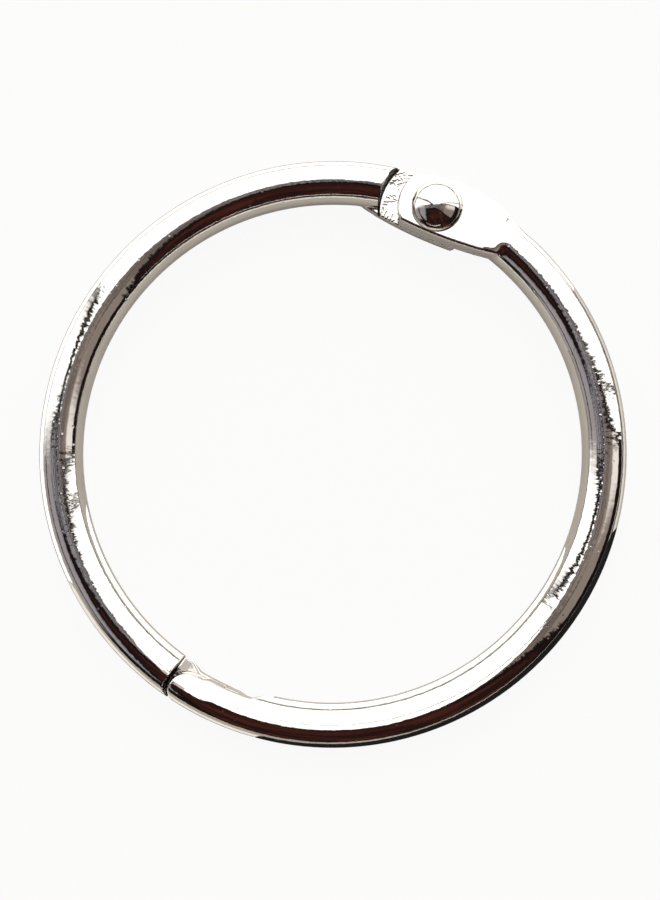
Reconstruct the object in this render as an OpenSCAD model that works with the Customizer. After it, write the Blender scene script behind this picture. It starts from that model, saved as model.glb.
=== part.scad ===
// Hinged binder ring. Two half rings of round steel wire are riveted together at one end and
// hook into each other at the other end. The ring lies flat with its axis on Z and its centre
// at the origin. The rivet stands on +Y, a little inside the wire's centre line, and the latch on -Y.
// Angles are degrees about the ring's axis, counted from +X.

/* [Ring] */
// Inner diameter of the closed ring
ring_id = 38; // [32:1:60]
// Diameter of the wire
wire_d = 3.3; // [3:0.1:3.8]

/* [Hinge leaves] */
// Distance of the rivet from the wire's centre line, toward the ring's middle
rivet_in = 0.6; // [0.3:0.05:0.8]
// Radius of a leaf's rounded end, about the rivet
leaf_end_r = 3.1; // [2.8:0.1:3.3]
// Length of wire from the rivet to the place where a leaf runs into the round wire
leaf_len = 5.9; // [5.4:0.1:6.6]
// Height of the wire's crown above the pressed face of a leaf
leaf_press = 0.05; // [0.03:0.01:0.15]
// How far the leaves bulge inward beyond the wire
inner_bulge = 1.2; // [0.9:0.05:1.4]
// How far the front leaf bulges outward beyond the wire
front_bulge = 0.25; // [0.1:0.05:0.9]
// Offset of the front leaf's widest place from the rivet, along the leaf
front_bulge_at = 1.3; // [0:0.1:1.5]
// How far the back leaf bulges outward beyond the wire
back_bulge = 0.1; // [0.05:0.05:0.9]
// Offset of the back leaf's widest place from the rivet, along the leaf
back_bulge_at = 0; // [0:0.1:1.5]
// How far a leaf's sides lean in between its foot and its pressed face
side_draft = 0.14; // [0.06:0.02:0.4]
// Radius of the rounded edge between a leaf's sides and its pressed face
side_round = 0.26; // [0.2:0.02:0.5]
// Radius about the rivet of the step that ends the round wire beside the other half's leaf
shoulder_r = 4.4; // [4.1:0.05:4.8]

/* [Rivet] */
// Diameter of the shank
shank_d = 2.0; // [1.6:0.1:2.4]
// Diameter of the domed head
head_d = 3.9; // [3.6:0.1:4.2]
// Height of the domed head
head_h = 1.25; // [1:0.05:1.5]
// Height of the straight lip at the foot of the head
head_lip = 0.18; // [0.1:0.02:0.3]
// Diameter of the tail, closed over the back leaf
tail_d = 3.5; // [3:0.1:3.8]
// Height of the tail
tail_h = 0.7; // [0.5:0.05:0.9]
// Radius of the tail's rolled edge
tail_roll = 0.42; // [0.2:0.02:0.46]

/* [Latch] */
// Length over which the two tongues lie on each other
lap_len = 7.46; // [6.6:0.1:8]
// Gap between a tongue's nose and the other half's wire
nose_gap = 0.33; // [0.25:0.01:0.4]
// Height of the step by which the tongues hook into each other
hook_h = 0.8; // [0.5:0.05:1]
// Length of the slope under a nose that lifts one tongue over the other
lead_in = 1.05; // [0.8:0.05:1.3]
// How far a nose's inner side is set back near its tip
nose_side = 0.68; // [0.5:0.02:0.8]
// Length of that set-back side, before it runs out into the tongue's own
nose_side_len = 1.9; // [1.5:0.1:2.2]
// How far a nose's inner corner is taken back, along the wire and across it
nose_inner = [1.4, 1.04]; // [0.9:0.02:1.5]
// How far a nose's outer corner is taken back, along the wire and across it
nose_outer = [1.05, 1.0]; // [0.9:0.05:1.2]
// How far the wire reaches round the other half's nose, along the wire and across it
nose_wrap = [1.0, 0.9]; // [0.8:0.05:1.1]
// Length of the flattened top of a nose
nose_flat = 2.4; // [1.5:0.1:3]
// How far the flattened top drops at the tip
nose_drop = 0.3; // [0.1:0.05:0.45]
// Angle by which the flattened top leans toward the ring's middle
nose_lean = 10; // [0:1:12]
// Depth by which the tongues are set back along the inner side
setback = 0.5; // [0.2:0.05:0.6]
// Length of that set-back side
setback_len = 4.6; // [4:0.1:5.2]
// Length of the slope at each end of the set-back side
setback_slope = 1.1; // [0.6:0.1:1.2]

/* [Fits] */
// Gap between the two leaves' inner faces
leaf_gap = 0.06; // [0.04:0.01:0.1]
// Gap all round the shank in the front leaf's hole, which turns on it
bore_play = 0.05; // [0.03:0.01:0.08]
// Gap between the faces of the hooked tongues
hook_play = 0.06; // [0.04:0.01:0.1]

/* [Hidden] */
$fn = 96;

// Radius of the wire, and of its centre line round the ring
wire_r = wire_d / 2;
ring_r = (ring_id + wire_d) / 2;
// Height of a leaf's pressed face, its thickness and the height of its middle
leaf_top = wire_r - leaf_press;
leaf_t = leaf_top - leaf_gap / 2;
leaf_mid = leaf_gap / 2 + leaf_t / 2;
// Lean of a leaf's sides, as run for each unit of height
side_lean = side_draft / leaf_t;
// Height by which a leaf's rounded edge would pass its pressed face, whose rim it keeps crisp
edge_rise = 0.006;
// Lean of the face that ends a leaf on the wire, and of the slope on which the wire's
// crown comes up there, as run for each unit of height
leaf_lean = 0.5;
crown_lean = 1.2;
// How far the crown starts back from the leaf's end
crown_back = 0.1;
// Reach of a leaf, half the lap and the reach to a pocket's end, as angles about the axis
leaf_deg = deg_of(leaf_len);
lap_deg = deg_of(lap_len / 2);
pocket_deg = deg_of(lap_len / 2 + nose_gap);
// Faces of the hooked tongues, above and below the wire's mid-plane
tooth_z = hook_h / 2 - hook_play / 2;
root_z = hook_h / 2 + hook_play / 2;
// Length of the slope by which a nose's set-back side would reach the full wire
nose_run_out = 3;
// Radii of the corner curves
nose_inner_r = 1.3;
nose_outer_r = 1.1;
nose_wrap_r = 1.15;
// Cutting solids pass the wire by this much
over = 1;
deep = wire_r + over;
// The cuts that free a leaf from the wire, one below and one above it, overlap by this much
cut_lap = 0.2;
// Space under the rivet's head, which the front leaf turns in
head_play = 0.03;

// Angle that a length along the wire's centre line takes up
function deg_of(len) = len / ring_r * 180 / PI;
// Point at a distance r from the ring's axis, at an angle from the rivet
function at_angle(r, deg) = r * [sin(deg), cos(deg)];
// Radius of an arc that is level at its crown and falls by drop over the length run
function arc_r(run, drop) = (run * run + drop * drop) / (2 * drop);
// Centre of the arc of radius r that cuts a corner from [reach.x, 0] to [0, reach.y]
function corner_centre(reach, r) =
    let (chord = norm(reach), rise = sqrt(r * r - chord * chord / 4))
    reach / 2 + rise / chord * [reach.y, reach.x];

// Piece of round wire along the ring
module wire_arc(from, to) {
    rotate([0, 0, from])
        rotate_extrude(angle = to - from)
            translate([ring_r, 0]) circle(d = wire_d);
}

// Disc whose edge is drafted and rounded as the side of a leaf is. The leaf's foot is at z = 0.
module rim_disc(r, low, high) {
    slant = norm([1, side_lean]);
    round_z = leaf_t + edge_rise - side_round;
    centre = [r - side_lean * round_z - side_round * slant, round_z];
    rotate_extrude()
        intersection() {
            translate([0, low]) square([r + over, high - low]);
            union() {
                polygon([
                    [0, low], [r - side_lean * low, low],
                    centre + side_round / slant * [1, side_lean], centre, [0, centre.y]
                ]);
                square([centre.x, 2 * leaf_t]);
                translate(centre) circle(side_round);
            }
        }
}

// Puts a shape on the rivet's axis
module at_hinge() {
    translate([0, ring_r - rivet_in, 0]) children();
}

// Puts a shape on the wire where a leaf ends: +X runs along the wire, away from the rivet
module at_leaf_end() {
    rotate([0, 0, -leaf_deg]) translate([0, ring_r, 0]) children();
}

// Stands a profile drawn along the wire and upward on its edge, as deep as the wire needs
module across_wire() {
    rotate([90, 0, 0]) linear_extrude(2 * wire_d + 2 * over, center = true) children();
}

// Pressed leaf. Its sides are two shallow arcs that run out into the wire.
module leaf(bulge, bulge_at) {
    outer_end = at_angle(ring_r + wire_r, leaf_deg);
    outer_y = ring_r + wire_r + bulge;
    outer_r = arc_r(outer_end.x - bulge_at, outer_y - outer_end.y);
    inner_end = at_angle(ring_r - wire_r, leaf_deg);
    inner_y = ring_r - wire_r - inner_bulge;
    inner_r = arc_r(inner_end.x, inner_end.y - inner_y);
    intersection() {
        translate([bulge_at, outer_y - outer_r, leaf_gap / 2]) rim_disc(outer_r, 0, leaf_t);
        translate([0, inner_y + inner_r, leaf_gap / 2]) rim_disc(inner_r, -over, 2 * leaf_t);
        union() {
            at_hinge() translate([0, 0, leaf_gap / 2]) rim_disc(leaf_end_r, -over, 2 * leaf_t);
            leaf_reach();
        }
    }
}

// The length of a leaf between the rivet and the leaning face that ends it on the wire
module leaf_reach() {
    intersection() {
        at_hinge() translate([0, -wire_d, 0]) cube([2 * leaf_len, 2 * wire_d, wire_d]);
        at_leaf_end()
            across_wire()
                polygon([
                    [-2 * leaf_len, -over], [(leaf_top + over) * leaf_lean, -over],
                    [-wire_d * leaf_lean, leaf_top + wire_d], [-2 * leaf_len, leaf_top + wire_d]
                ]);
    }
}

// What is pressed out of the round wire at the hinge: the space under the leaf, which the
// other half's leaf turns in, and the crown of the wire above it
module hinge_relief() {
    at_hinge()
        translate([0, 0, -deep]) cylinder(r = shoulder_r, h = deep + leaf_mid + cut_lap);
    at_leaf_end()
        across_wire()
            polygon([
                [-2 * leaf_len, leaf_mid],
                [-crown_back - (leaf_top - leaf_mid) * crown_lean, leaf_mid],
                [-crown_back + over * crown_lean, leaf_top + over], [-2 * leaf_len, leaf_top + over]
            ]);
}

// Plan of what is cut off a square corner at the origin, for an arc between the two reaches
module corner_off(reach, r) {
    difference() {
        translate([-over, -over]) square([over + reach.x, over + reach.y]);
        translate(corner_centre(reach, r)) circle(r);
    }
}

// Plan of a nose's two corners: +X runs from the nose along the wire, +Y outward
module nose_corners() {
    translate([0, nose_side - wire_r]) corner_off(nose_inner, nose_inner_r);
    translate([0, wire_r]) mirror([0, 1]) corner_off(nose_outer, nose_outer_r);
}

// Plan of the pocket for the other half's nose: the wire's end face is on its +X side and
// wraps round the nose's outer corner
module nose_pocket() {
    difference() {
        translate([-lap_len, -deep]) square([lap_len, 2 * deep]);
        translate([0, wire_r]) rotate(180) corner_off(nose_wrap, nose_wrap_r);
    }
}

// Puts a plan drawn at the wire's centre line, with +X along the wire, at an angle from the
// latch's middle
module at_latch(deg) {
    rotate([0, 0, deg]) translate([0, -ring_r, 0]) mirror([0, 1, 0]) children();
}

// Everything cut from the latch end of a half ring whose tongue lies on the +Z side
module latch_cuts() {
    // space for the other tongue, from the hook's face to the end of the round wire
    translate([0, 0, -deep])
        linear_extrude(deep + root_z)
            intersection() {
                at_latch(pocket_deg) nose_pocket();
                translate([-hook_play / 2, -ring_r - deep]) square([lap_len, 2 * deep]);
            }
    // underside of the tooth, with its lead-in slope
    translate([0, -ring_r, 0])
        rotate([90, 0, 0])
            linear_extrude(2 * deep, center = true)
                polygon([
                    [-lap_len, -deep], [over, -deep], [over, -tooth_z],
                    [lead_in - lap_len / 2, -tooth_z], [-lap_len / 2, hook_play],
                    [-lap_len, hook_play + tooth_z]
                ]);
    // corners of the nose
    translate([0, 0, -deep])
        linear_extrude(2 * deep) at_latch(-lap_deg) nose_corners();
    // flattened top of the nose
    translate([nose_flat - lap_len / 2, -ring_r, wire_r])
        rotate([-nose_lean, -atan(nose_drop / nose_flat), 0])
            translate([-lap_len, -deep, 0]) cube([lap_len, 2 * deep, over]);
    // inner side of the tongues, and of the nose
    translate([0, 0, -deep])
        linear_extrude(2 * deep) {
            set_back(setback, -setback_len / 2, setback_len / 2, setback_slope);
            set_back(nose_side, lap_len / 2 - nose_side_len, lap_len / 2 + over, nose_run_out);
        }
}

// Plan of what is taken off the wire's inner side between two lengths from the latch's
// middle: an arc about the ring's axis, with a slope at each end
module set_back(depth, from, to, slope) {
    bed_r = ring_r - wire_r + depth;
    inner_r = ring_r - wire_r;
    middle = deg_of((from + to) / 2);
    intersection() {
        circle(bed_r);
        polygon([
            -at_angle(bed_r, deg_of(to)), -at_angle(bed_r + over, middle),
            -at_angle(bed_r, deg_of(from)), -at_angle(inner_r, deg_of(from - slope)),
            -at_angle(inner_r - deep, middle), -at_angle(inner_r, deg_of(to + slope))
        ]);
    }
}

// One half ring, on the +X side, with its leaf and its tongue on the +Z side
module half_ring(bulge, bulge_at, bore_r) {
    difference() {
        union() {
            difference() {
                wire_arc(-90 - lap_deg, 90);
                hinge_relief();
            }
            leaf(bulge, bulge_at);
        }
        at_hinge() translate([0, 0, -deep]) cylinder(r = bore_r, h = 2 * deep);
        latch_cuts();
    }
}

module right_half_ring() {
    color("silver")
        half_ring(front_bulge, front_bulge_at, shank_d / 2 + bore_play);
}

module left_half_ring() {
    color("lightgray")
        rotate([0, 180, 0]) half_ring(back_bulge, back_bulge_at, shank_d / 2);
}

// Solid rivet: domed head with a short lip in front, shank, and flat tail behind
module hinge_rivet() {
    seat = leaf_top + head_play;
    dome_r = arc_r(head_d / 2, head_h - head_lip);
    color("gainsboro")
        at_hinge() {
            translate([0, 0, -leaf_top]) cylinder(d = shank_d, h = leaf_top + seat + head_lip / 2);
            translate([0, 0, seat])
                intersection() {
                    cylinder(d = head_d, h = head_h);
                    translate([0, 0, head_h - dome_r]) sphere(dome_r);
                }
            translate([0, 0, -leaf_top - tail_h])
                rivet_tail();
        }
}

// The tail's edge is rolled by the closing tool
module rivet_tail() {
    rotate_extrude()
        union() {
            square([tail_d / 2 - tail_roll, tail_h]);
            intersection() {
                square([tail_d / 2, tail_h]);
                translate([tail_d / 2 - tail_roll, tail_roll]) circle(tail_roll);
            }
            translate([0, tail_roll]) square([tail_d / 2, tail_h - tail_roll]);
        }
}

left_half_ring();
right_half_ring();
hinge_rivet();
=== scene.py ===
"""Hinged binder ring in nickelled steel wire: two half rings and the rivet of their hinge.

Shapes are made in millimetres, at their own place in the frame, and are brought down to
metres when they are finished. The ring's axis is Z, the rivet stands on +Y, the latch on -Y.
"""

import math
import random

import bpy
from mathutils import Matrix, Vector


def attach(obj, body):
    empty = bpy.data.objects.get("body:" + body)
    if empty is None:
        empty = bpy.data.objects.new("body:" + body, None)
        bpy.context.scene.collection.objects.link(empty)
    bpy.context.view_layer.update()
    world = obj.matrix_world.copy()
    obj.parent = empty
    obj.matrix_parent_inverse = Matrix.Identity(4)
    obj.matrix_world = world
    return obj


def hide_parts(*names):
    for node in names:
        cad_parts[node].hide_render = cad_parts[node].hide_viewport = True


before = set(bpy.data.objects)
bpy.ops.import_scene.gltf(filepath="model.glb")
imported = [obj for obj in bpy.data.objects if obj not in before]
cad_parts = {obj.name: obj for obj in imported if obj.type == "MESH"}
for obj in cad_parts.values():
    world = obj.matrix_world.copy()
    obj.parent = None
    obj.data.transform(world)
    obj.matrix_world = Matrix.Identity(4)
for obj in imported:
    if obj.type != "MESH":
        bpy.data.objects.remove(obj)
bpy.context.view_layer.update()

MILLIMETRE = 0.001

# Ring and wire
WIRE_R = 1.65
RING_R = 20.65
# Hinge leaves: faces, rounded sides and outline
LEAF_TOP = 1.60
LEAF_GAP = 0.06
LEAF_T = LEAF_TOP - LEAF_GAP / 2
LEAF_MID = (LEAF_TOP + LEAF_GAP / 2) / 2
LEAF_END_R = 3.1
RIVET_IN = 0.6
RIVET_R = RING_R - RIVET_IN
LEAF_LEN = 5.9
LEAF_LEAN = 0.5
INNER_BULGE = 1.2
CROWN_LEAN = 1.2
CROWN_BACK = 0.1
SHOULDER_R = 4.4
# Rivet
SHANK_R = 1.0
HEAD_R = 1.95
HEAD_H = 1.25
HEAD_LIP = 0.18
HEAD_PLAY = 0.03
TAIL_R = 1.75
TAIL_H = 0.7
BORE_PLAY = 0.05
# Latch
LAP_LEN = 7.46
NOSE_GAP = 0.33
TOOTH_Z = 0.37
ROOT_Z = 0.43
HOOK_PLAY = 0.06
LEAD_IN = 1.05
NOSE_INNER, NOSE_INNER_R = (1.4, 1.04), 1.3
NOSE_SIDE = 0.68
NOSE_SIDE_LEN = 1.9
NOSE_RUN_OUT = 3
NOSE_OUTER, NOSE_OUTER_R = (1.05, 1.0), 1.1
NOSE_WRAP, NOSE_WRAP_R = (1.0, 0.9), 1.15
NOSE_FLAT = 2.4
SETBACK = 0.5
SETBACK_LEN = 4.6
SETBACK_SLOPE = 1.1
# Cutting solids pass the wire by this much
OVER = 1.0
DEEP = WIRE_R + OVER
# Points closer than this are one point, and a slice takes points this close as on its plane
SAME_POINT = 1e-4
ON_PLANE = 1e-5


def turn_of(length):
    """Angle about the ring's axis that a length of wire takes up."""
    return length / RING_R


def at_angle(radius, angle):
    """Point at an angle from the rivet."""
    return Vector((radius * math.sin(angle), radius * math.cos(angle)))


def arc_radius(run, drop):
    """Radius of an arc that is level at its crown and falls by drop over the length run."""
    return (run * run + drop * drop) / (2 * drop)


# ---------------------------------------------------------------- working by hand

def start_clean():
    """Leaves edit mode and deselects everything."""
    if bpy.context.object and bpy.context.object.mode != "OBJECT":
        bpy.ops.object.mode_set(mode="OBJECT")
    bpy.ops.object.select_all(action="DESELECT")


def hold(piece):
    """Makes one piece the active and only selected one."""
    start_clean()
    piece.select_set(True)
    bpy.context.view_layer.objects.active = piece
    return piece


def settle(piece, place=None):
    """Puts the piece's turn and size into its mesh, after moving it to a place."""
    hold(piece)
    if place is not None:
        piece.matrix_world = place @ piece.matrix_world
    bpy.ops.object.transform_apply(location=True, rotation=True, scale=True)
    return piece


def block(low, high, place=None):
    """Square block between two corners."""
    start_clean()
    low, high = Vector(low), Vector(high)
    bpy.ops.mesh.primitive_cube_add(size=1, location=(low + high) / 2, scale=high - low)
    return settle(bpy.context.object, place)


def drum(centre, radius, low, high, sides=256, place=None):
    """Upright drum on a centre."""
    start_clean()
    bpy.ops.mesh.primitive_cylinder_add(
        vertices=sides, radius=radius, depth=high - low,
        location=(centre[0], centre[1], (low + high) / 2))
    return settle(bpy.context.object, place)


def drawn_line(points):
    """Chain of edges drawn from point to point, left open in edit mode."""
    start_clean()
    bpy.ops.mesh.primitive_plane_add(size=1)
    bpy.ops.object.mode_set(mode="EDIT")
    bpy.ops.mesh.select_mode(type="VERT")
    bpy.ops.mesh.select_all(action="SELECT")
    bpy.ops.mesh.merge(type="CENTER")
    here = Vector(points[0])
    bpy.ops.transform.translate(value=here)
    for point in points[1:]:
        step = Vector(point) - here
        bpy.ops.mesh.extrude_region_move(TRANSFORM_OT_translate={"value": step})
        here = Vector(point)
    return bpy.context.object


def plate(points, depth):
    """Flat outline pulled out to a thickness along a direction."""
    piece = drawn_line(list(points) + [points[0]])
    bpy.ops.mesh.select_all(action="SELECT")
    bpy.ops.mesh.remove_doubles(threshold=SAME_POINT)
    bpy.ops.mesh.edge_face_add()
    bpy.ops.mesh.extrude_region_move(TRANSFORM_OT_translate={"value": depth})
    bpy.ops.mesh.select_all(action="SELECT")
    bpy.ops.mesh.normals_make_consistent(inside=False)
    bpy.ops.object.mode_set(mode="OBJECT")
    return settle(piece)


def combine(piece, tool, operation):
    """Cuts a tool out of a piece, joins it on, or keeps only what both share."""
    hold(piece)
    change = piece.modifiers.new("combine", "BOOLEAN")
    change.operation = operation
    change.solver = "EXACT"
    change.object = tool
    bpy.ops.object.modifier_apply(modifier=change.name)
    bpy.data.objects.remove(tool)
    return piece


def cut(piece, *tools):
    for tool in tools:
        combine(piece, tool, "DIFFERENCE")
    return piece


def keep(piece, *tools):
    for tool in tools:
        combine(piece, tool, "INTERSECT")
    return piece


def weld(piece, *others):
    for other in others:
        combine(piece, other, "UNION")
    return piece


def slice_off(piece, point, direction, closed=True):
    """Takes away all of a piece that lies beyond a plane."""
    hold(piece)
    bpy.ops.object.mode_set(mode="EDIT")
    bpy.ops.mesh.select_all(action="SELECT")
    bpy.ops.mesh.bisect(plane_co=point, plane_no=direction, use_fill=closed,
                        clear_outer=True, threshold=ON_PLANE)
    bpy.ops.object.mode_set(mode="OBJECT")
    return piece


# ---------------------------------------------------------------- wire

WIRE_SIDES = 96
WIRE_STEP = math.radians(2)
FINE_STEP = math.radians(0.5)


def drawn_wire(start, end, step=WIRE_STEP, closed=True):
    """Round wire spun about the ring's axis from one angle to another."""
    start_clean()
    bpy.ops.mesh.primitive_circle_add(
        vertices=WIRE_SIDES, radius=WIRE_R, rotation=(math.pi / 2, 0, start),
        location=(RING_R * math.cos(start), RING_R * math.sin(start), 0))
    piece = settle(bpy.context.object)
    bpy.ops.object.mode_set(mode="EDIT")
    bpy.ops.mesh.select_mode(type="EDGE")
    bpy.ops.mesh.select_all(action="SELECT")
    steps = max(2, round((end - start) / step))
    bpy.ops.mesh.spin(steps=steps, angle=start - end, center=(0, 0, 0), axis=(0, 0, 1))
    if closed:
        bpy.ops.mesh.select_all(action="DESELECT")
        bpy.ops.mesh.select_non_manifold()
        bpy.ops.mesh.fill_holes(sides=0)
    bpy.ops.mesh.select_all(action="SELECT")
    bpy.ops.mesh.normals_make_consistent(inside=False)
    bpy.ops.object.mode_set(mode="OBJECT")
    return piece


# ---------------------------------------------------------------- hinge end

LEAF_TURN = turn_of(LEAF_LEN)
AT_HINGE = Matrix.Translation((0, RIVET_R, 0))
AT_LEAF_END = Matrix.Rotation(-LEAF_TURN, 4, "Z") @ Matrix.Translation((0, RING_R, 0))
HINGE_STRETCH = (math.radians(60), math.radians(90))
SWING_FLOOR = LEAF_MID + LEAF_T / 8
LEAF_SIDES = 720
SIDE_DRAFT = 0.14
SIDE_TOP_ROUND, SIDE_TOP_STEPS = 0.2, 8
SIDE_FOOT_ROUND, SIDE_FOOT_STEPS = 0.12, 3
# Drums of one leaf differ by this in thickness, so that no two faces lie in one plane
EDGE_RISE = 0.004


def round_rims(piece, height, amount, segments):
    """Rounds the rim of a drum that lies at a height."""
    hold(piece)
    bpy.ops.object.mode_set(mode="EDIT")
    bpy.ops.mesh.select_mode(type="EDGE")
    bpy.ops.mesh.select_all(action="DESELECT")
    bpy.ops.object.mode_set(mode="OBJECT")
    for edge in piece.data.edges:
        a, b = (piece.data.vertices[v].co for v in edge.vertices)
        edge.select = abs(a.z - height) < SAME_POINT and abs(b.z - height) < SAME_POINT
    bpy.ops.object.mode_set(mode="EDIT")
    bpy.ops.mesh.bevel(offset=amount, segments=segments, affect="EDGES", profile=0.5)
    bpy.ops.object.mode_set(mode="OBJECT")
    return piece


def drafted_drum(centre, radius, rise=0.0):
    """Drum as thick as a leaf: its sides lean in from the foot and roll over at the top."""
    low, high = LEAF_MID - LEAF_T / 2 - rise, LEAF_MID + LEAF_T / 2 + rise
    start_clean()
    bpy.ops.mesh.primitive_cone_add(
        vertices=LEAF_SIDES, radius1=radius, radius2=radius - SIDE_DRAFT, depth=high - low,
        location=(centre[0], centre[1], (low + high) / 2))
    piece = settle(bpy.context.object)
    round_rims(piece, high, SIDE_TOP_ROUND, SIDE_TOP_STEPS)
    return round_rims(piece, low, SIDE_FOOT_ROUND, SIDE_FOOT_STEPS)


def pressed_leaf(bulge, bulge_at):
    """Flat leaf: a rounded end about the rivet, two shallow side arcs running into the wire."""
    outer_end = at_angle(RING_R + WIRE_R, LEAF_TURN)
    outer_y = RING_R + WIRE_R + bulge
    outer_r = arc_radius(outer_end.x - bulge_at, outer_y - outer_end.y)
    inner_end = at_angle(RING_R - WIRE_R, LEAF_TURN)
    inner_y = RING_R - WIRE_R - INNER_BULGE
    inner_r = arc_radius(inner_end.x, inner_end.y - inner_y)

    reach = block((0, -2 * WIRE_R, 0), (2 * LEAF_LEN, 2 * WIRE_R, 2 * WIRE_R), AT_HINGE)
    slice_off(reach, AT_LEAF_END @ Vector((0, 0, LEAF_TOP)),
              AT_LEAF_END.to_3x3() @ Vector((1, 0, LEAF_LEAN)))
    leaf = weld(drafted_drum((0, RIVET_R), LEAF_END_R, 2 * EDGE_RISE), reach)
    return keep(leaf, drafted_drum((bulge_at, outer_y - outer_r), outer_r),
                drafted_drum((0, inner_y + inner_r), inner_r, EDGE_RISE))


def hinge_end(bulge, bulge_at, bore):
    """The last stretch of wire before the rivet, pressed out into its leaf."""
    end = drawn_wire(*HINGE_STRETCH, step=FINE_STEP)
    swing = drum((0, RIVET_R), SHOULDER_R, -DEEP, SWING_FLOOR)
    crown = block((-2 * LEAF_LEN, -DEEP, LEAF_MID), (2 * OVER, DEEP, LEAF_TOP + OVER), AT_LEAF_END)
    slice_off(crown, AT_LEAF_END @ Vector((-CROWN_BACK, 0, LEAF_TOP)),
              AT_LEAF_END.to_3x3() @ Vector((1, 0, -CROWN_LEAN)))
    cut(end, swing, crown)
    weld(end, pressed_leaf(bulge, bulge_at))
    return cut(end, drum((0, RIVET_R), bore, -DEEP, DEEP))


# ---------------------------------------------------------------- latch end

LATCH_STRETCH_END = math.radians(-68)
BED_SIDES = 1440
LAP_TURN = turn_of(LAP_LEN / 2)
POCKET_TURN = turn_of(LAP_LEN / 2 + NOSE_GAP)


def at_latch(angle):
    """Place on the wire near the latch: X along the wire, Y toward the ring's middle."""
    return Matrix.Rotation(angle, 4, "Z") @ Matrix.Translation((0, -RING_R, 0))


def corner_tool(reach, radius, edge, low, high, place, ahead=1):
    """What a square corner loses to an arc. Its edge lies inward (+) or outward (-)."""
    chord = math.hypot(*reach)
    rise = math.sqrt(radius ** 2 - chord ** 2 / 4)
    x = reach[0] / 2 + rise / chord * reach[1]
    y = reach[1] / 2 + rise / chord * reach[0]
    side = math.copysign(1, edge)
    xs = sorted((-ahead * OVER, ahead * reach[0]))
    ys = sorted((edge + side * OVER, edge - side * reach[1]))
    tool = block((xs[0], ys[0], low), (xs[1], ys[1], high), place)
    return cut(tool, drum((ahead * x, edge - side * y), radius, low - OVER, high + OVER,
                          place=place))


def nose_pocket():
    """Room for the other half's nose, from the hook to the end of the round wire."""
    place = at_latch(POCKET_TURN)
    room = block((-LAP_LEN, -DEEP, -DEEP), (0, DEEP, ROOT_Z), place)
    wrap = corner_tool(NOSE_WRAP, NOSE_WRAP_R, -WIRE_R, -DEEP - OVER, ROOT_Z + OVER, place,
                       ahead=-1)
    cut(room, wrap)
    return slice_off(room, (-HOOK_PLAY / 2, 0, 0), (-1, 0, 0))


def tooth_underside():
    """Space under the tooth, with the slope that lifts one tongue over the other."""
    outline = [
        (-LAP_LEN, -DEEP), (OVER, -DEEP), (OVER, -TOOTH_Z), (LEAD_IN - LAP_LEN / 2, -TOOTH_Z),
        (-LAP_LEN / 2, HOOK_PLAY), (-LAP_LEN, HOOK_PLAY + TOOTH_Z)]
    return plate([(x, -RING_R - DEEP, z) for x, z in outline], (0, 2 * DEEP, 0))


def set_back(depth, start, end, slope):
    """What the inner side loses between two lengths from the latch, with sloping ends."""
    bed_r = RING_R - WIRE_R + depth
    inner_r = RING_R - WIRE_R
    middle = turn_of((start + end) / 2)
    outline = [-at_angle(bed_r, turn_of(end)), -at_angle(bed_r + OVER, middle),
               -at_angle(bed_r, turn_of(start)), -at_angle(inner_r, turn_of(start - slope)),
               -at_angle(inner_r - DEEP, middle), -at_angle(inner_r, turn_of(end + slope))]
    tool = plate([(p.x, p.y, -DEEP) for p in outline], (0, 0, 2 * DEEP))
    return keep(tool, drum((0, 0), bed_r, -DEEP - OVER, DEEP + OVER, sides=BED_SIDES))


def latch_end():
    """The last stretch of wire before the latch, cut down to its hooked tongue."""
    end = drawn_wire(-math.pi / 2 - LAP_TURN, LATCH_STRETCH_END, step=FINE_STEP)
    nose = at_latch(-LAP_TURN)
    cut(end, nose_pocket(), tooth_underside(),
        set_back(SETBACK, -SETBACK_LEN / 2, SETBACK_LEN / 2, SETBACK_SLOPE),
        set_back(NOSE_SIDE, LAP_LEN / 2 - NOSE_SIDE_LEN, LAP_LEN / 2 + OVER, NOSE_RUN_OUT))
    return cut(end, corner_tool(NOSE_INNER, NOSE_INNER_R, WIRE_R - NOSE_SIDE, -DEEP, DEEP, nose),
               corner_tool(NOSE_OUTER, NOSE_OUTER_R, -WIRE_R, -DEEP, DEEP, nose))


# ---------------------------------------------------------------- half rings

GRAIN = 0.06
SMOOTHING = 4
LEAF_CUT = math.radians(67)
TONGUE_CUT = math.radians(-75.5)
JOINT_STRIP = math.radians(0.4)


def soften(piece):
    """Turns the cut solid into one even skin and rounds its edges as plating does."""
    hold(piece)
    skin = piece.modifiers.new("skin", "REMESH")
    skin.mode = "VOXEL"
    skin.voxel_size = GRAIN
    bpy.ops.object.modifier_apply(modifier=skin.name)
    return rub(piece, lambda p: True, SMOOTHING)


def rub(piece, where, strokes):
    """Smooths the skin where a test on its points holds."""
    hold(piece)
    bpy.ops.object.mode_set(mode="EDIT")
    bpy.ops.mesh.select_mode(type="VERT")
    bpy.ops.mesh.select_all(action="DESELECT")
    bpy.ops.object.mode_set(mode="OBJECT")
    for vertex in piece.data.vertices:
        vertex.select = where(vertex.co)
    bpy.ops.object.mode_set(mode="EDIT")
    bpy.ops.mesh.vertices_smooth(factor=0.5, repeat=strokes)
    bpy.ops.object.mode_set(mode="OBJECT")
    return piece


def fade(value, low, high):
    """0 at low, 1 at high, and a soft step between."""
    t = min(1.0, max(0.0, (value - low) / (high - low)))
    return t * t * (3 - 2 * t)


def from_hinge(p):
    """Length along the wire from the rivet to a point on the +X side."""
    return RING_R * math.atan2(p.x, p.y)


def from_latch(p):
    """Length along the wire from the latch's middle, growing toward +X."""
    return RING_R * math.atan2(p.x, -p.y)


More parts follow.
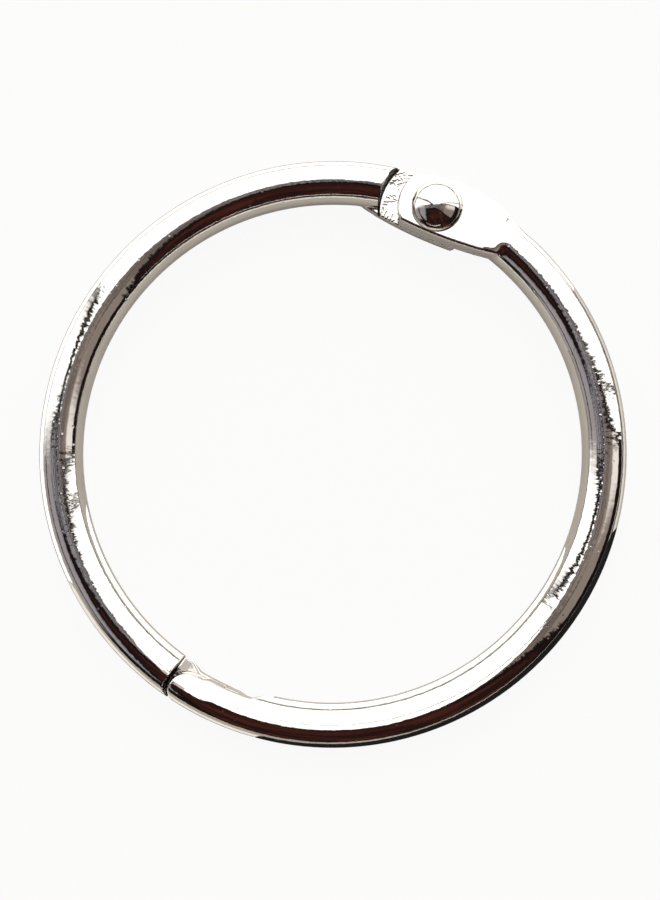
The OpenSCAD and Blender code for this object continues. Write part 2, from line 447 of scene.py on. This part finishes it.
def true_round(piece, weight):
    """Brings skin that lies on the drawn wire back to its exact radius."""
    for vertex in piece.data.vertices:
        p = vertex.co
        share = weight(p)
        if share > 0:
            middle = Vector((p.x, p.y, 0)).normalized() * RING_R
            out = p - middle
            radius = out.length + (WIRE_R - out.length) * share
            vertex.co = middle + out * (radius / out.length)
    return piece


# Run-out of the leaf: its stretch from the rivet, and where the wire is round again
RUN_OUT, RUN_OUT_STROKES = (4.9, 7.6), 45
OUTER_CORNER, OUTER_CORNER_STROKES = (5.0, 7.3), 220
OUTER_SIDE_FROM = RING_R + 0.5
FRONT_FROM = 0.1
LEAF_TO_ROUND = (6.7, 7.9)
# Nose: its top leans inward from a crease, and its tip is rounded
NOSE_TILT = 0.18
NOSE_TILT_FROM = -0.5
NOSE_TIP_DROP = 0.1
NOSE_CREASE = NOSE_FLAT - LAP_LEN / 2
NOSE_TOP = (0.3, 0.9)
CREASE_WIDTH = (0.4, 1.6)
CREASE_ACROSS = (-0.3, 0.3)
NOSE_TIP_END = 0.9 - LAP_LEN / 2
NOSE_TIP_STROKES = 12
TONGUE_TO_ROUND = (LAP_LEN / 2 + 0.6, LAP_LEN / 2 + 1.2)


def finish_leaf(end):
    """Runs the leaf out into the wire and trues the wire beyond it."""
    rub(end, lambda p: RUN_OUT[0] < from_hinge(p) < RUN_OUT[1] and p.z > FRONT_FROM,
        RUN_OUT_STROKES)
    rub(end, lambda p: (OUTER_CORNER[0] < from_hinge(p) < OUTER_CORNER[1] and p.z > FRONT_FROM
                        and p.xy.length > OUTER_SIDE_FROM), OUTER_CORNER_STROKES)
    return true_round(end, lambda p: fade(from_hinge(p), *LEAF_TO_ROUND))


def finish_tongue(end):
    """Trues the wire behind the latch, leans the nose's top inward and rounds its tip."""
    true_round(end, lambda p: fade(from_latch(p), *TONGUE_TO_ROUND))
    for vertex in end.data.vertices:
        p = vertex.co
        along = from_latch(p)
        inward = RING_R - p.xy.length
        width = CREASE_WIDTH[0] + (CREASE_WIDTH[1] - CREASE_WIDTH[0]) * fade(inward, *CREASE_ACROSS)
        pressed = fade(NOSE_CREASE + width - along, 0, width) * fade(p.z, *NOSE_TOP)
        if pressed > 0:
            toward_tip = max(0.0, (NOSE_CREASE - along) / NOSE_FLAT)
            p.z -= pressed * (NOSE_TIP_DROP * toward_tip ** 2
                              + NOSE_TILT * max(inward - NOSE_TILT_FROM, 0))
    return rub(end, lambda p: from_latch(p) < NOSE_TIP_END and p.z > TOOTH_Z, NOSE_TIP_STROKES)


def open_end(piece, angle, ahead):
    """Cuts a piece across the wire at an angle and leaves it open there."""
    direction = Vector((-math.sin(angle), math.cos(angle), 0)) * ahead
    return slice_off(piece, (0, 0, 0), direction, closed=False)


def half_ring(name, bulge, bulge_at, bore):
    """One half ring on the +X side: leaf, wire and tongue in one skin."""
    leaf = open_end(finish_leaf(soften(hinge_end(bulge, bulge_at, bore))), LEAF_CUT, -1)
    tongue = open_end(finish_tongue(soften(latch_end())), TONGUE_CUT, 1)
    wire = drawn_wire(TONGUE_CUT + JOINT_STRIP, LEAF_CUT - JOINT_STRIP, closed=False)
    start_clean()
    for part in (leaf, tongue, wire):
        part.select_set(True)
    bpy.context.view_layer.objects.active = wire
    bpy.ops.object.join()
    for angle in (LEAF_CUT, TONGUE_CUT):
        bridge_at(wire, angle)
    hold(wire)
    bpy.ops.object.mode_set(mode="EDIT")
    bpy.ops.mesh.select_all(action="SELECT")
    bpy.ops.mesh.normals_make_consistent(inside=False)
    bpy.ops.object.mode_set(mode="OBJECT")
    bpy.ops.object.shade_smooth()
    wire.name = name
    return wire


def bridge_at(piece, angle):
    """Closes the narrow strip between two open ends of the wire."""
    hold(piece)
    bpy.ops.object.mode_set(mode="EDIT")
    bpy.ops.mesh.select_mode(type="EDGE")
    bpy.ops.mesh.select_all(action="DESELECT")
    bpy.ops.mesh.select_non_manifold(use_wire=False, use_multi_face=False,
                                     use_non_contiguous=False, use_verts=False)
    bpy.ops.object.mode_set(mode="OBJECT")
    for edge in piece.data.edges:
        if edge.select:
            p = piece.data.vertices[edge.vertices[0]].co
            edge.select = abs(math.atan2(p.y, p.x) - angle) < 2 * JOINT_STRIP
    bpy.ops.object.mode_set(mode="EDIT")
    bpy.ops.mesh.bridge_edge_loops()
    bpy.ops.object.mode_set(mode="OBJECT")


def finish_piece(piece):
    """Brings a piece from millimetres to metres."""
    piece.scale = (MILLIMETRE,) * 3
    return settle(piece)


# ---------------------------------------------------------------- coining marks

MARK_WIDTH = 0.045
MARK_DEPTH = 0.03
MARK_SEED = 11
# Where the back leaf is bare: across the ring, round the rivet, in height, and facing up
BARE_X = (-4.7, -0.4)
BARE_R = (2.7, 4.9)
BARE_Z = (-0.9, 0.05)
FACING_UP = 0.12
# Groups of strokes round the rivet: angles, distances, lean from the radius, lengths, number
MARK_GROUPS = (
    ((147, 171), (3.25, 4.15), (38, 54), (0.12, 0.34), 26),
    ((150, 174), (3.3, 4.2), (-44, -30), (0.1, 0.2), 9),
    ((182, 196), (3.3, 4.15), (-8, 8), (0.12, 0.3), 8),
    ((200, 216), (3.3, 4.2), (60, 80), (0.1, 0.24), 9),
    ((214, 240), (3.0, 4.3), (-18, 2), (0.16, 0.38), 15),
)


def coining_strokes(seed):
    """Short strokes (middle, direction, half length) that a worn press tool leaves."""
    dice = random.Random(seed)
    strokes = []
    for angles, distances, leans, lengths, count in MARK_GROUPS:
        for i in range(count):
            angle = math.radians(angles[0] + (angles[1] - angles[0]) * (i + dice.random()) / count)
            lean = angle + math.radians(dice.uniform(*leans))
            middle = Vector((math.cos(angle), math.sin(angle))) * dice.uniform(*distances)
            strokes.append((middle + Vector((0, RIVET_R)),
                            Vector((math.cos(lean), math.sin(lean))), dice.uniform(*lengths) / 2))
    return strokes


def near_stroke(point, stroke):
    """Distance from a point in plan to a stroke."""
    middle, direction, half = stroke
    along = max(-half, min(half, (point - middle).dot(direction)))
    return (point - middle - direction * along).length


def press_marks(piece):
    """Presses the tool's strokes into the back leaf, where the front leaf leaves it bare."""
    def bare(p, normal):
        arm = math.hypot(p.x, p.y - RIVET_R)
        return (BARE_X[0] < p.x < BARE_X[1] and BARE_R[0] < arm < BARE_R[1]
                and BARE_Z[0] < p.z < BARE_Z[1] and normal.z > FACING_UP)

    hold(piece)
    bpy.ops.object.mode_set(mode="EDIT")
    bpy.ops.mesh.select_mode(type="FACE")
    bpy.ops.mesh.select_all(action="DESELECT")
    bpy.ops.object.mode_set(mode="OBJECT")
    for face in piece.data.polygons:
        face.select = bare(face.center, face.normal)
    bpy.ops.object.mode_set(mode="EDIT")
    bpy.ops.mesh.subdivide(number_cuts=1)
    bpy.ops.object.mode_set(mode="OBJECT")
    strokes = coining_strokes(MARK_SEED)
    normals = [v.normal.copy() for v in piece.data.vertices]
    for vertex, normal in zip(piece.data.vertices, normals):
        if bare(vertex.co, normal):
            nearest = min(near_stroke(vertex.co.xy, stroke) for stroke in strokes)
            vertex.co -= normal * (MARK_DEPTH * math.exp(-(nearest / MARK_WIDTH) ** 2))
    return piece


# ---------------------------------------------------------------- painted shade in crevices

# Painted shade at the shoulder's foot: how soft its edge is, how wide it is, and its height in z
SHOULDER_SHADE_EDGE = 0.06
SHOULDER_SHADE_WIDTH = 0.13
SHOULDER_SHADE_TOP = 0.3
# Painted shade in the latch's gap: depth on the pocket's wall and on the nose's tip
POCKET_WALL_SHADE = 0.13
NOSE_TIP_SHADE = 0.12
ACROSS_WIRE = (0.5, 0.8)
# The wire's rim is left without painted shade
RIM = 0.2


def paint_crevice_shade(piece, way):
    """Notes how much painted shade each point takes: in the shoulder's foot and the latch's gap.

    The way is 1 for a half ring that lies as it was built, -1 for one turned over.
    """
    values = []
    for vertex in piece.data.vertices:
        p = vertex.co
        x, z = p.x * way, p.z * way
        shoulder = abs(math.hypot(p.x, p.y - RIVET_R) - SHOULDER_R)
        at_hinge = x > 0 and p.y > 0 and RIM - WIRE_R < z < SHOULDER_SHADE_TOP
        at_foot = at_hinge * fade(SHOULDER_SHADE_WIDTH - shoulder, 0, SHOULDER_SHADE_EDGE)
        tangent = Vector((-p.y, p.x, 0)).normalized()
        across = abs(vertex.normal.dot(tangent))
        along = from_latch(Vector((x, p.y, 0)))
        out = math.hypot(p.xy.length - RING_R, z)
        near_wall = abs(along - LAP_LEN / 2 - NOSE_GAP) < POCKET_WALL_SHADE
        near_tip = abs(along + LAP_LEN / 2) < NOSE_TIP_SHADE
        in_gap = p.y < 0 and (near_wall or near_tip) and out < WIRE_R - RIM
        # Share of painted shade: the shoulder's foot, and the latch's gap across the wire
        values.append(max(at_foot, in_gap * fade(across, *ACROSS_WIRE)))
    crevice_shade = piece.data.attributes.new("crevice_shade", "FLOAT", "POINT")
    crevice_shade.data.foreach_set("value", values)
    return piece


# ---------------------------------------------------------------- rivet

HEAD_POINTS = 28
TAIL_POINTS = 10
TAIL_ROLL = 0.42
# The dome's arc starts this far (radians) above its brim
BRIM_ROUND = 0.02
EDGE_ROUND = 0.04
RIVET_SIDES = 144


def arc_points(centre, radius, start, end, count):
    """Points (r, z) along an arc, its ends included."""
    return [(centre[0] + radius * math.cos(start + (end - start) * i / count),
             centre[1] + radius * math.sin(start + (end - start) * i / count))
            for i in range(count + 1)]


def turned(profile, axis_at, sides):
    """Turns a profile of (r, z) points about an upright axis."""
    piece = drawn_line([(r, axis_at, z) for r, z in profile])
    bpy.ops.mesh.select_all(action="SELECT")
    bpy.ops.mesh.spin(steps=sides, angle=2 * math.pi, center=(0, axis_at, 0), axis=(0, 0, 1))
    bpy.ops.mesh.select_all(action="SELECT")
    bpy.ops.mesh.remove_doubles(threshold=SAME_POINT)
    bpy.ops.mesh.normals_make_consistent(inside=False)
    bpy.ops.object.mode_set(mode="OBJECT")
    return settle(piece)


def hinge_rivet(name):
    """Solid rivet: domed head on a short lip, shank, and the tail rolled over behind."""
    seat = LEAF_TOP + HEAD_PLAY
    foot = -LEAF_TOP - TAIL_H
    dome_r = arc_radius(HEAD_R, HEAD_H - HEAD_LIP)
    dome_z = seat + HEAD_H - dome_r
    brim = math.asin((seat + HEAD_LIP - dome_z) / dome_r)
    profile = [(0, foot)]
    profile += arc_points((TAIL_R - TAIL_ROLL, foot + TAIL_ROLL), TAIL_ROLL,
                          -math.pi / 2, 0, TAIL_POINTS)
    profile += [(TAIL_R, -LEAF_TOP - EDGE_ROUND), (TAIL_R - EDGE_ROUND, -LEAF_TOP)]
    profile += [(SHANK_R, -LEAF_TOP), (SHANK_R, seat)]
    profile += [(HEAD_R - EDGE_ROUND, seat), (HEAD_R, seat + EDGE_ROUND)]
    profile += [(HEAD_R, seat + HEAD_LIP - EDGE_ROUND)]
    profile += arc_points((0, dome_z), dome_r, brim + BRIM_ROUND, math.pi / 2, HEAD_POINTS)[:-1]
    profile += [(0, seat + HEAD_H)]
    piece = turned(profile, RIVET_R, RIVET_SIDES)
    hold(piece)
    bpy.ops.object.shade_smooth()
    piece.name = name
    return piece


# ---------------------------------------------------------------- finishes

class Signal:
    """A socket that gives a value. An expression on signals adds its Math nodes."""

    def __init__(self, bench, socket):
        self.bench, self.socket = bench, socket

    def __add__(self, other):
        return self.bench.math("ADD", self, other)

    def __radd__(self, other):
        return self.bench.math("ADD", other, self)

    def __sub__(self, other):
        return self.bench.math("SUBTRACT", self, other)

    def __rsub__(self, other):
        return self.bench.math("SUBTRACT", other, self)

    def __mul__(self, other):
        return self.bench.math("MULTIPLY", self, other)

    def __rmul__(self, other):
        return self.bench.math("MULTIPLY", other, self)

    def __truediv__(self, other):
        return self.bench.math("DIVIDE", self, other)

    def above(self, low, high):
        """0 under low, 1 over high, and a soft step between."""
        return self.bench.node("MapRange", {"interpolation_type": "SMOOTHSTEP"},
                               {"Value": self, "From Min": low, "From Max": high})

    def below(self, low, high):
        """1 under low, 0 over high, and a soft step between."""
        return 1 - self.above(low, high)


class Bench:
    """A node tree under work."""

    def __init__(self, tree):
        self.tree = tree
        tree.nodes.clear()

    def node(self, kind, settings=None, inputs=None, output=0, output_name=None):
        """Adds a node: its settings first, then the values and links of its sockets."""
        node = self.tree.nodes.new("ShaderNode" + kind)
        for key, value in (settings or {}).items():
            setattr(node, key, value)
        for key, value in (inputs or {}).items():
            if isinstance(value, Signal):
                self.tree.links.new(value.socket, node.inputs[key])
            else:
                node.inputs[key].default_value = value
        if not node.outputs:
            return None
        return Signal(self, node.outputs[output_name if output_name else output])

    def math(self, operation, a, b):
        return self.node("Math", {"operation": operation}, {0: a, 1: b})

    def mix_colour(self, factor, a, b):
        return self.node("Mix", {"data_type": "RGBA"}, {0: factor, 6: a, 7: b}, output=2)

    def dot(self, vector, direction):
        return self.node("VectorMath", {"operation": "DOT_PRODUCT"},
                         {0: vector, 1: direction}, output=1)


def finish_bench(name):
    material = bpy.data.materials.new(name)
    material.use_nodes = True
    return material, Bench(material.node_tree)


# Painted shade: near-black colour laid into the crevices, with rougher plate there
CREVICE_SHADE_COLOUR = (0.012, 0.009, 0.008, 1)
PLATE = (0.66, 0.63, 0.585, 1)
WIPED_PLATE = (0.5808, 0.5544, 0.5148, 1)
PLATE_ROUGHNESS = 0.06
WIPED_ROUGHNESS, PIT_ROUGHNESS, CREVICE_SHADE_ROUGHNESS = 0.05, 0.2, 0.4
RELIEF_HEIGHT = 7e-6
# Relief: how coarse each kind is (larger is finer), and its share of the height
RIPPLE, RIPPLE_SHARE = 2600, 0.8
WAVES, WAVES_SHARE = 750, 1.6
DENTS, DENTS_SHARE = 1900, 1.4
PITS, PITS_SHARE = 1100, 0.9
PIT_SIZE = (0.06, 0.13)
PATCHES = 240
PATCH_EDGE = (0.4, 0.75)
# The ripple is drawn out across the wire by squeezing distances from the wire's centre line
SQUEEZE = 0.22


def nickel(name):
    """Bright nickel plate on steel: draw ripple across the wire, pits, and wiped patches."""
    material, bench = finish_bench(name)
    place = bench.node("TexCoord", output_name="Object")
    flat = bench.node("VectorMath", {"operation": "MULTIPLY"}, {0: place, 1: (1, 1, 0)})
    flat = bench.node("VectorMath", {"operation": "NORMALIZE"}, {0: flat})
    middle = bench.node("VectorMath", {"operation": "MULTIPLY"},
                        {0: flat, 1: (RING_R * MILLIMETRE,) * 3})
    off = bench.node("VectorMath", {"operation": "SUBTRACT"}, {0: place, 1: middle})
    off = bench.node("VectorMath", {"operation": "MULTIPLY"}, {0: off, 1: (SQUEEZE,) * 3})
    banded = bench.node("VectorMath", {"operation": "ADD"}, {0: middle, 1: off})
    ripple = bench.node("TexNoise", {}, {"Vector": banded, "Scale": RIPPLE, "Detail": 3,
                                         "Roughness": 0.55})
    waves = bench.node("TexNoise", {}, {"Vector": place, "Scale": WAVES, "Detail": 2})
    pits = bench.node("TexVoronoi", {}, {"Vector": place, "Scale": PITS, "Randomness": 1.0})
    holes = pits.below(*PIT_SIZE)
    dents = bench.node("TexNoise", {}, {"Vector": place, "Scale": DENTS, "Detail": 1})
    height = (ripple * RIPPLE_SHARE + waves * WAVES_SHARE + dents * DENTS_SHARE
              - holes * PITS_SHARE)
    relief = bench.node("Bump", {}, {"Strength": 1.0, "Distance": RELIEF_HEIGHT, "Height": height})
    patches = bench.node("TexNoise", {}, {"Vector": place, "Scale": PATCHES, "Detail": 5})
    wiped = patches.above(*PATCH_EDGE)
    colour = bench.mix_colour(wiped, PLATE, WIPED_PLATE)
    # Painted shade: the crevices' share turns the plate near black and rougher
    crevice_shade = bench.node("Attribute", {"attribute_name": "crevice_shade"}, output_name="Fac")
    colour = bench.mix_colour(crevice_shade, colour, CREVICE_SHADE_COLOUR)
    metal = bench.node("BsdfPrincipled", {}, {
        "Base Color": colour, "Metallic": 1.0,
        "Roughness": (wiped * WIPED_ROUGHNESS + holes * PIT_ROUGHNESS
                      + crevice_shade * CREVICE_SHADE_ROUGHNESS + PLATE_ROUGHNESS),
        "Normal": relief})
    bench.node("OutputMaterial", {}, {"Surface": metal})
    return material


# ---------------------------------------------------------------- the object

left_half = half_ring("left_half", bulge=0.1, bulge_at=0, bore=SHANK_R)
left_half.rotation_euler = (0, math.pi, 0)
settle(left_half)
press_marks(left_half)
paint_crevice_shade(left_half, -1)
right_half = half_ring("right_half", bulge=0.25, bulge_at=1.3, bore=SHANK_R + BORE_PLAY)
paint_crevice_shade(right_half, 1)
rivet = hinge_rivet("rivet")

wire_nickel = nickel("nickel_plated_wire")
rivet_nickel = nickel("nickel_plated_rivet")
for piece, node, body, slot, finish in (
        (left_half, "left_half_ring", "left_half", "left_wire", wire_nickel),
        (right_half, "right_half_ring", "right_half", "right_wire", wire_nickel),
        (rivet, "hinge_rivet", "left_half", "rivet", rivet_nickel)):
    finish_piece(piece)
    piece.data.materials.clear()
    piece.data.materials.append(finish)
    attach(piece, body)
    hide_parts(node)


# ---------------------------------------------------------------- camera

# The view is turned about the ring's axis. The camera stands close, off the ring's middle.
VIEW_TURN = math.radians(24)
CAMERA_HEIGHT = 0.090
CAMERA_FOOT = (0.004, -0.006)
CAMERA_LENS = 47.5
CAMERA_NEAREST = 0.01
RIGHT = Vector((math.cos(VIEW_TURN), math.sin(VIEW_TURN), 0))
LEVEL_UP = Vector((-math.sin(VIEW_TURN), math.cos(VIEW_TURN), 0))
CAMERA_PLACE = RIGHT * CAMERA_FOOT[0] + LEVEL_UP * CAMERA_FOOT[1] + Vector((0, 0, CAMERA_HEIGHT))
TOWARD_CAMERA = CAMERA_PLACE.normalized()
ACROSS = LEVEL_UP.cross(TOWARD_CAMERA).normalized()
UPWARD = TOWARD_CAMERA.cross(ACROSS)

camera = bpy.data.objects.new("camera", bpy.data.cameras.new("camera"))
bpy.context.scene.collection.objects.link(camera)
camera.data.lens = CAMERA_LENS
camera.data.clip_start = CAMERA_NEAREST
camera.matrix_world = Matrix.Translation(CAMERA_PLACE) \
    @ Matrix((ACROSS, UPWARD, TOWARD_CAMERA)).transposed().to_4x4()
bpy.context.scene.camera = camera


# ---------------------------------------------------------------- floor and light

# The ring rests on the rivet's tail and on the wire at the latch
TAIL_REST = Vector((0, RIVET_R - TAIL_R + TAIL_ROLL, -LEAF_TOP - TAIL_H)) * MILLIMETRE
WIRE_REST = Vector((0, -RING_R, -WIRE_R)) * MILLIMETRE
FLOOR_SLOPE = (TAIL_REST.z - WIRE_REST.z) / (TAIL_REST.y - WIRE_REST.y)
FLOOR_SIZE = 2.4
FLOOR_DROP = 2e-5
FLOOR_PAPER = (0.66, 0.62, 0.55, 1)
# Share of plain white that the camera and the shiny surfaces see in place of the lit paper
WHITE_TO_CAMERA, WHITE_TO_SHINE = 0.93, 0.12
WHITE = (1, 1, 1, 1)


def plain_view(bench, camera_share, glossy_share):
    """How much of the plain white background a ray sees in place of the lit surface."""
    rays = bench.node("LightPath").socket.node.outputs
    shiny = bench.math("MAXIMUM", Signal(bench, rays["Is Glossy Ray"]),
                       Signal(bench, rays["Is Transmission Ray"]))
    return bench.math("MAXIMUM", Signal(bench, rays["Is Camera Ray"]) * camera_share,
                      shiny * glossy_share)


def pale_floor_finish():
    material, bench = finish_bench("pale_floor")
    paper = bench.node("BsdfDiffuse", {}, {"Color": FLOOR_PAPER})
    white = bench.node("Emission", {}, {"Color": WHITE, "Strength": 1.0})
    shown = bench.node("MixShader", {}, {
        0: plain_view(bench, WHITE_TO_CAMERA, WHITE_TO_SHINE), 1: paper, 2: white})
    bench.node("OutputMaterial", {}, {"Surface": shown})
    return material


def pale_floor():
    start_clean()
    bpy.ops.mesh.primitive_plane_add(size=FLOOR_SIZE, location=(
        0, 0, WIRE_REST.z - WIRE_REST.y * FLOOR_SLOPE - FLOOR_DROP))
    floor = bpy.context.object
    floor.name = "pale_floor"
    floor.rotation_euler = (math.atan(FLOOR_SLOPE), 0, 0)
    floor.data.materials.append(pale_floor_finish())
    return floor


TENT_R = 0.5
TENT_LOW = -0.01
CLOTH_GLOW = 2.1
BLACK = (0.006, 0.004, 0.004, 1)
DARK_ROOM = (0.012, 0.0055, 0.005, 1)
RED_ROOM = (0.042, 0.0115, 0.009, 1)
LEFT_WALL = (0.22, 0.205, 0.22, 1)
LEFT_SHADE = (0.05, 0.055, 0.07, 1)
RIGHT_WALL = (0.17, 0.143, 0.13, 1)
RIGHT_SHADE = (0.07, 0.055, 0.05, 1)
RIGHT_CREAM = (0.60, 0.57, 0.55, 1)
# Pattern of the tent. u runs to the view's right and v up, and a pair is (slope, height) of a
# straight edge or (start, end) of a soft one.
HEM_RIGHT, HEM_LEFT = (0.2, 0.056), (-0.79, -0.023)
BORDER, BORDER_LEFT = 0.012, 0.034
BORDER_WIDENS = (-0.14, -0.04)
FAR_LEFT, FAR_LEFT_SOFT = (-0.45, -0.35), 0.07
WINDOW_FOOT, WINDOW_RIM = 0.07, 0.03
ROOM_TOP, ROOM_TOP_RIGHT = -0.07, (-0.556, -0.1)
ROOM_LEFT, ROOM_RIGHT = -0.33, (-0.33, 0.335)
ROOM_RIM, ROOM_LIT = (-0.035, -0.02), (0.015, 0.08)
EDGE_SOFT, BORDER_SOFT = 0.01, 0.008
SPECKS, SPECK_EDGE = 26, (0.42, 0.6)
STREAKS, STREAK_EDGE = 9, (0.4, 0.65)
LEFT_PLAIN, RIGHT_PLAIN = (-0.42, -0.36), (0.2, 0.25)
CREAM_FROM, CREAM_OVER = (0.27, 0.36), (-0.12, 0.0)
WALLS_MEET = (-0.08, 0.08)
LOW_WALL, LOW_WALL_RIGHT, LOW_WALL_UNDER = (0.30, 0.36), (-0.35, -0.25), (-0.4, -0.3)
LINE_START, LINE_END = (0.33, 0.335), (0.37, 0.375)


def tent_finish():
    """Cloth of the light tent: white over the top, with a dark opening where the camera looks in.

    The pattern is laid out by the slope of a mirror that would show it to an eye overhead.
    """
    material, bench = finish_bench("tent_cloth")
    place = bench.node("TexCoord", output_name="Object")
    out = bench.node("VectorMath", {"operation": "NORMALIZE"}, {0: place})
    half = bench.node("VectorMath", {"operation": "ADD"}, {0: out, 1: (0, 0, 1)})
    half = bench.node("VectorMath", {"operation": "NORMALIZE"}, {0: half})
    u = bench.dot(half, tuple(RIGHT))
    v = bench.dot(half, tuple(LEVEL_UP))

    def least(*signals):
        low = signals[0]
        for signal in signals[1:]:
            low = bench.math("MINIMUM", low, signal)
        return low

    hem = bench.math("MAXIMUM", u * HEM_RIGHT[0] + HEM_RIGHT[1], u * HEM_LEFT[0] + HEM_LEFT[1])
    over_hem = v - hem
    border = u.below(*BORDER_WIDENS) * BORDER_LEFT + BORDER
    far_left = u.below(*FAR_LEFT)
    window = least(0.0 - over_hem - border, v - WINDOW_FOOT)
    room = least(ROOM_TOP - v, u * ROOM_TOP_RIGHT[0] + ROOM_TOP_RIGHT[1] - v,
                 u - ROOM_LEFT, ROOM_RIGHT[1] + v * ROOM_RIGHT[0] - u)
    speck = bench.node("TexNoise", {}, {"Vector": half, "Scale": SPECKS, "Detail": 5})
    streaks = bench.node("TexNoise", {}, {"Vector": half, "Scale": STREAKS, "Detail": 6})
    bright = speck.above(*SPECK_EDGE)
    left = bench.mix_colour(bench.math("MAXIMUM", bright, u.below(*LEFT_PLAIN)),
                            LEFT_SHADE, LEFT_WALL)
    right = bench.mix_colour(bench.math("MAXIMUM", bright, u.above(*RIGHT_PLAIN)),
                             RIGHT_SHADE, RIGHT_WALL)
    right = bench.mix_colour(u.above(*CREAM_FROM) * v.above(*CREAM_OVER), right, RIGHT_CREAM)
    wall = bench.mix_colour(u.above(*WALLS_MEET), left, right)
    reach = u * u + v * v
    low_wall = reach.above(*LOW_WALL) * bench.math(
        "MAXIMUM", u.above(*LOW_WALL_RIGHT), v.below(*LOW_WALL_UNDER))
    line = reach.above(*LINE_START) * reach.below(*LINE_END)
    wall = bench.mix_colour(bench.math("MAXIMUM", low_wall, line), wall, BLACK)
    colour = bench.mix_colour((over_hem + border).below(0, BORDER_SOFT), BLACK, wall)
    lit_room = bench.mix_colour(streaks.above(*STREAK_EDGE), DARK_ROOM, RED_ROOM)
    colour = bench.mix_colour(room.above(*ROOM_RIM), colour, BLACK)
    colour = bench.mix_colour(room.above(*ROOM_LIT), colour, lit_room)
    rim = (window + WINDOW_RIM).above(0, EDGE_SOFT) * (1 - far_left)
    colour = bench.mix_colour(rim, colour, BLACK)
    lit = (window + far_left * FAR_LEFT_SOFT) / (far_left * (2 * FAR_LEFT_SOFT) + EDGE_SOFT)
    colour = bench.mix_colour(lit.above(0, 1), colour, WHITE)
    colour = bench.mix_colour(over_hem.above(0, EDGE_SOFT), colour, WHITE)
    glow = bench.node("Emission", {}, {"Color": colour, "Strength": CLOTH_GLOW})
    bench.node("OutputMaterial", {}, {"Surface": glow})
    return material


def light_tent():
    start_clean()
    bpy.ops.mesh.primitive_uv_sphere_add(segments=96, ring_count=48, radius=TENT_R)
    tent = bpy.context.object
    tent.name = "light_tent"
    slice_off(tent, (0, 0, TENT_LOW), (0, 0, -1), closed=False)
    tent.data.materials.append(tent_finish())
    tent.visible_camera = False
    tent.visible_shadow = False
    return tent


CARD_STEPS = 48
CARDS = (
    # name, angles from the view's right, radii, height over the ring's plane, glow,
    # and how much of its width is left at its two ends
    ("white_card_over_bottom", (222, 322), (19.4, 23.2), 10.0, (2.1, 2.1, 2.1, 1), (0, 0)),
    ("grey_card_over_latch", (231.5, 236.0), (20.5, 22.3), 9.0, (0.80, 0.74, 0.74, 1), (1, 1)),
    ("white_sheet_outside", (34, 206), (24.8, 60.0), -1.55, (2.0, 2.0, 2.0, 1), (1, 0.3)),
    ("white_sheet_inside", (192, 338), (17.7, 5.0), -1.55, (2.0, 2.0, 2.0, 1), (0, 0)),
    ("pale_sheet_right", (-35, 34), (25.2, 31.0), -1.55, (1.05, 1.0, 0.95, 1), (0.3, 1)),
    ("pale_sheet_below", (206, 272), (24.2, 40.0), -1.55, (1.25, 1.2, 1.12, 1), (0.3, 0)),
    ("dark_hem_of_the_tent", (-35, 215), (60.0, 260.0), -1.5, (0.10, 0.10, 0.11, 1), (1, 1)),
    ("dark_strip_right", (-35, 40), (31.0, 40.0), -1.5, (0.04, 0.04, 0.045, 1), (0.3, 0.1)),
    ("black_flag_outside", (255, 345), (22.9, 200.0), -1.5, (0.02, 0.018, 0.018, 1), (0, 0)),
)


def glow_finish(name, glow):
    material, bench = finish_bench(name)
    light = bench.node("Emission", {}, {"Color": glow, "Strength": 1.0})
    bench.node("OutputMaterial", {}, {"Surface": light})
    return material


def bounce_card(name, angles, radii, height, glow, ends):
    """Card bent round the ring, narrower at its ends. Only the polished metal sees it."""
    start, end = (math.radians(a) + VIEW_TURN for a in angles)
    card = drawn_line([(r * math.cos(start), r * math.sin(start), height) for r in radii])
    bpy.ops.mesh.select_all(action="SELECT")
    bpy.ops.mesh.spin(steps=CARD_STEPS, angle=start - end, center=(0, 0, 0), axis=(0, 0, 1))
    bpy.ops.object.mode_set(mode="OBJECT")
    for vertex in card.data.vertices:
        p = vertex.co
        t = (math.atan2(p.y, p.x) - start) % (2 * math.pi) / (end - start)
        near_end = ends[0] if t < 0.5 else ends[1]
        width = near_end + (1 - near_end) * math.sqrt(max(0.0, math.sin(math.pi * min(t, 1.0))))
        r = p.xy.length
        share = (radii[0] + (r - radii[0]) * width) / r
        vertex.co = (p.x * share, p.y * share, p.z)
    card.name = name
    finish_piece(card)
    card.data.materials.append(glow_finish(name, glow))
    card.visible_camera = False
    card.visible_diffuse = False
    card.visible_shadow = False
    return card


def white_room():
    world = bpy.data.worlds.new("white_room")
    bpy.context.scene.world = world
    world.use_nodes = True
    bench = Bench(world.node_tree)
    room = bench.node("Background", {}, {"Color": WHITE, "Strength": 1.0})
    bench.node("OutputWorld", {}, {"Surface": room})


pale_floor()
light_tent()
for card in CARDS:
    bounce_card(*card)
white_room()
bpy.context.scene.view_settings.view_transform = "Standard"
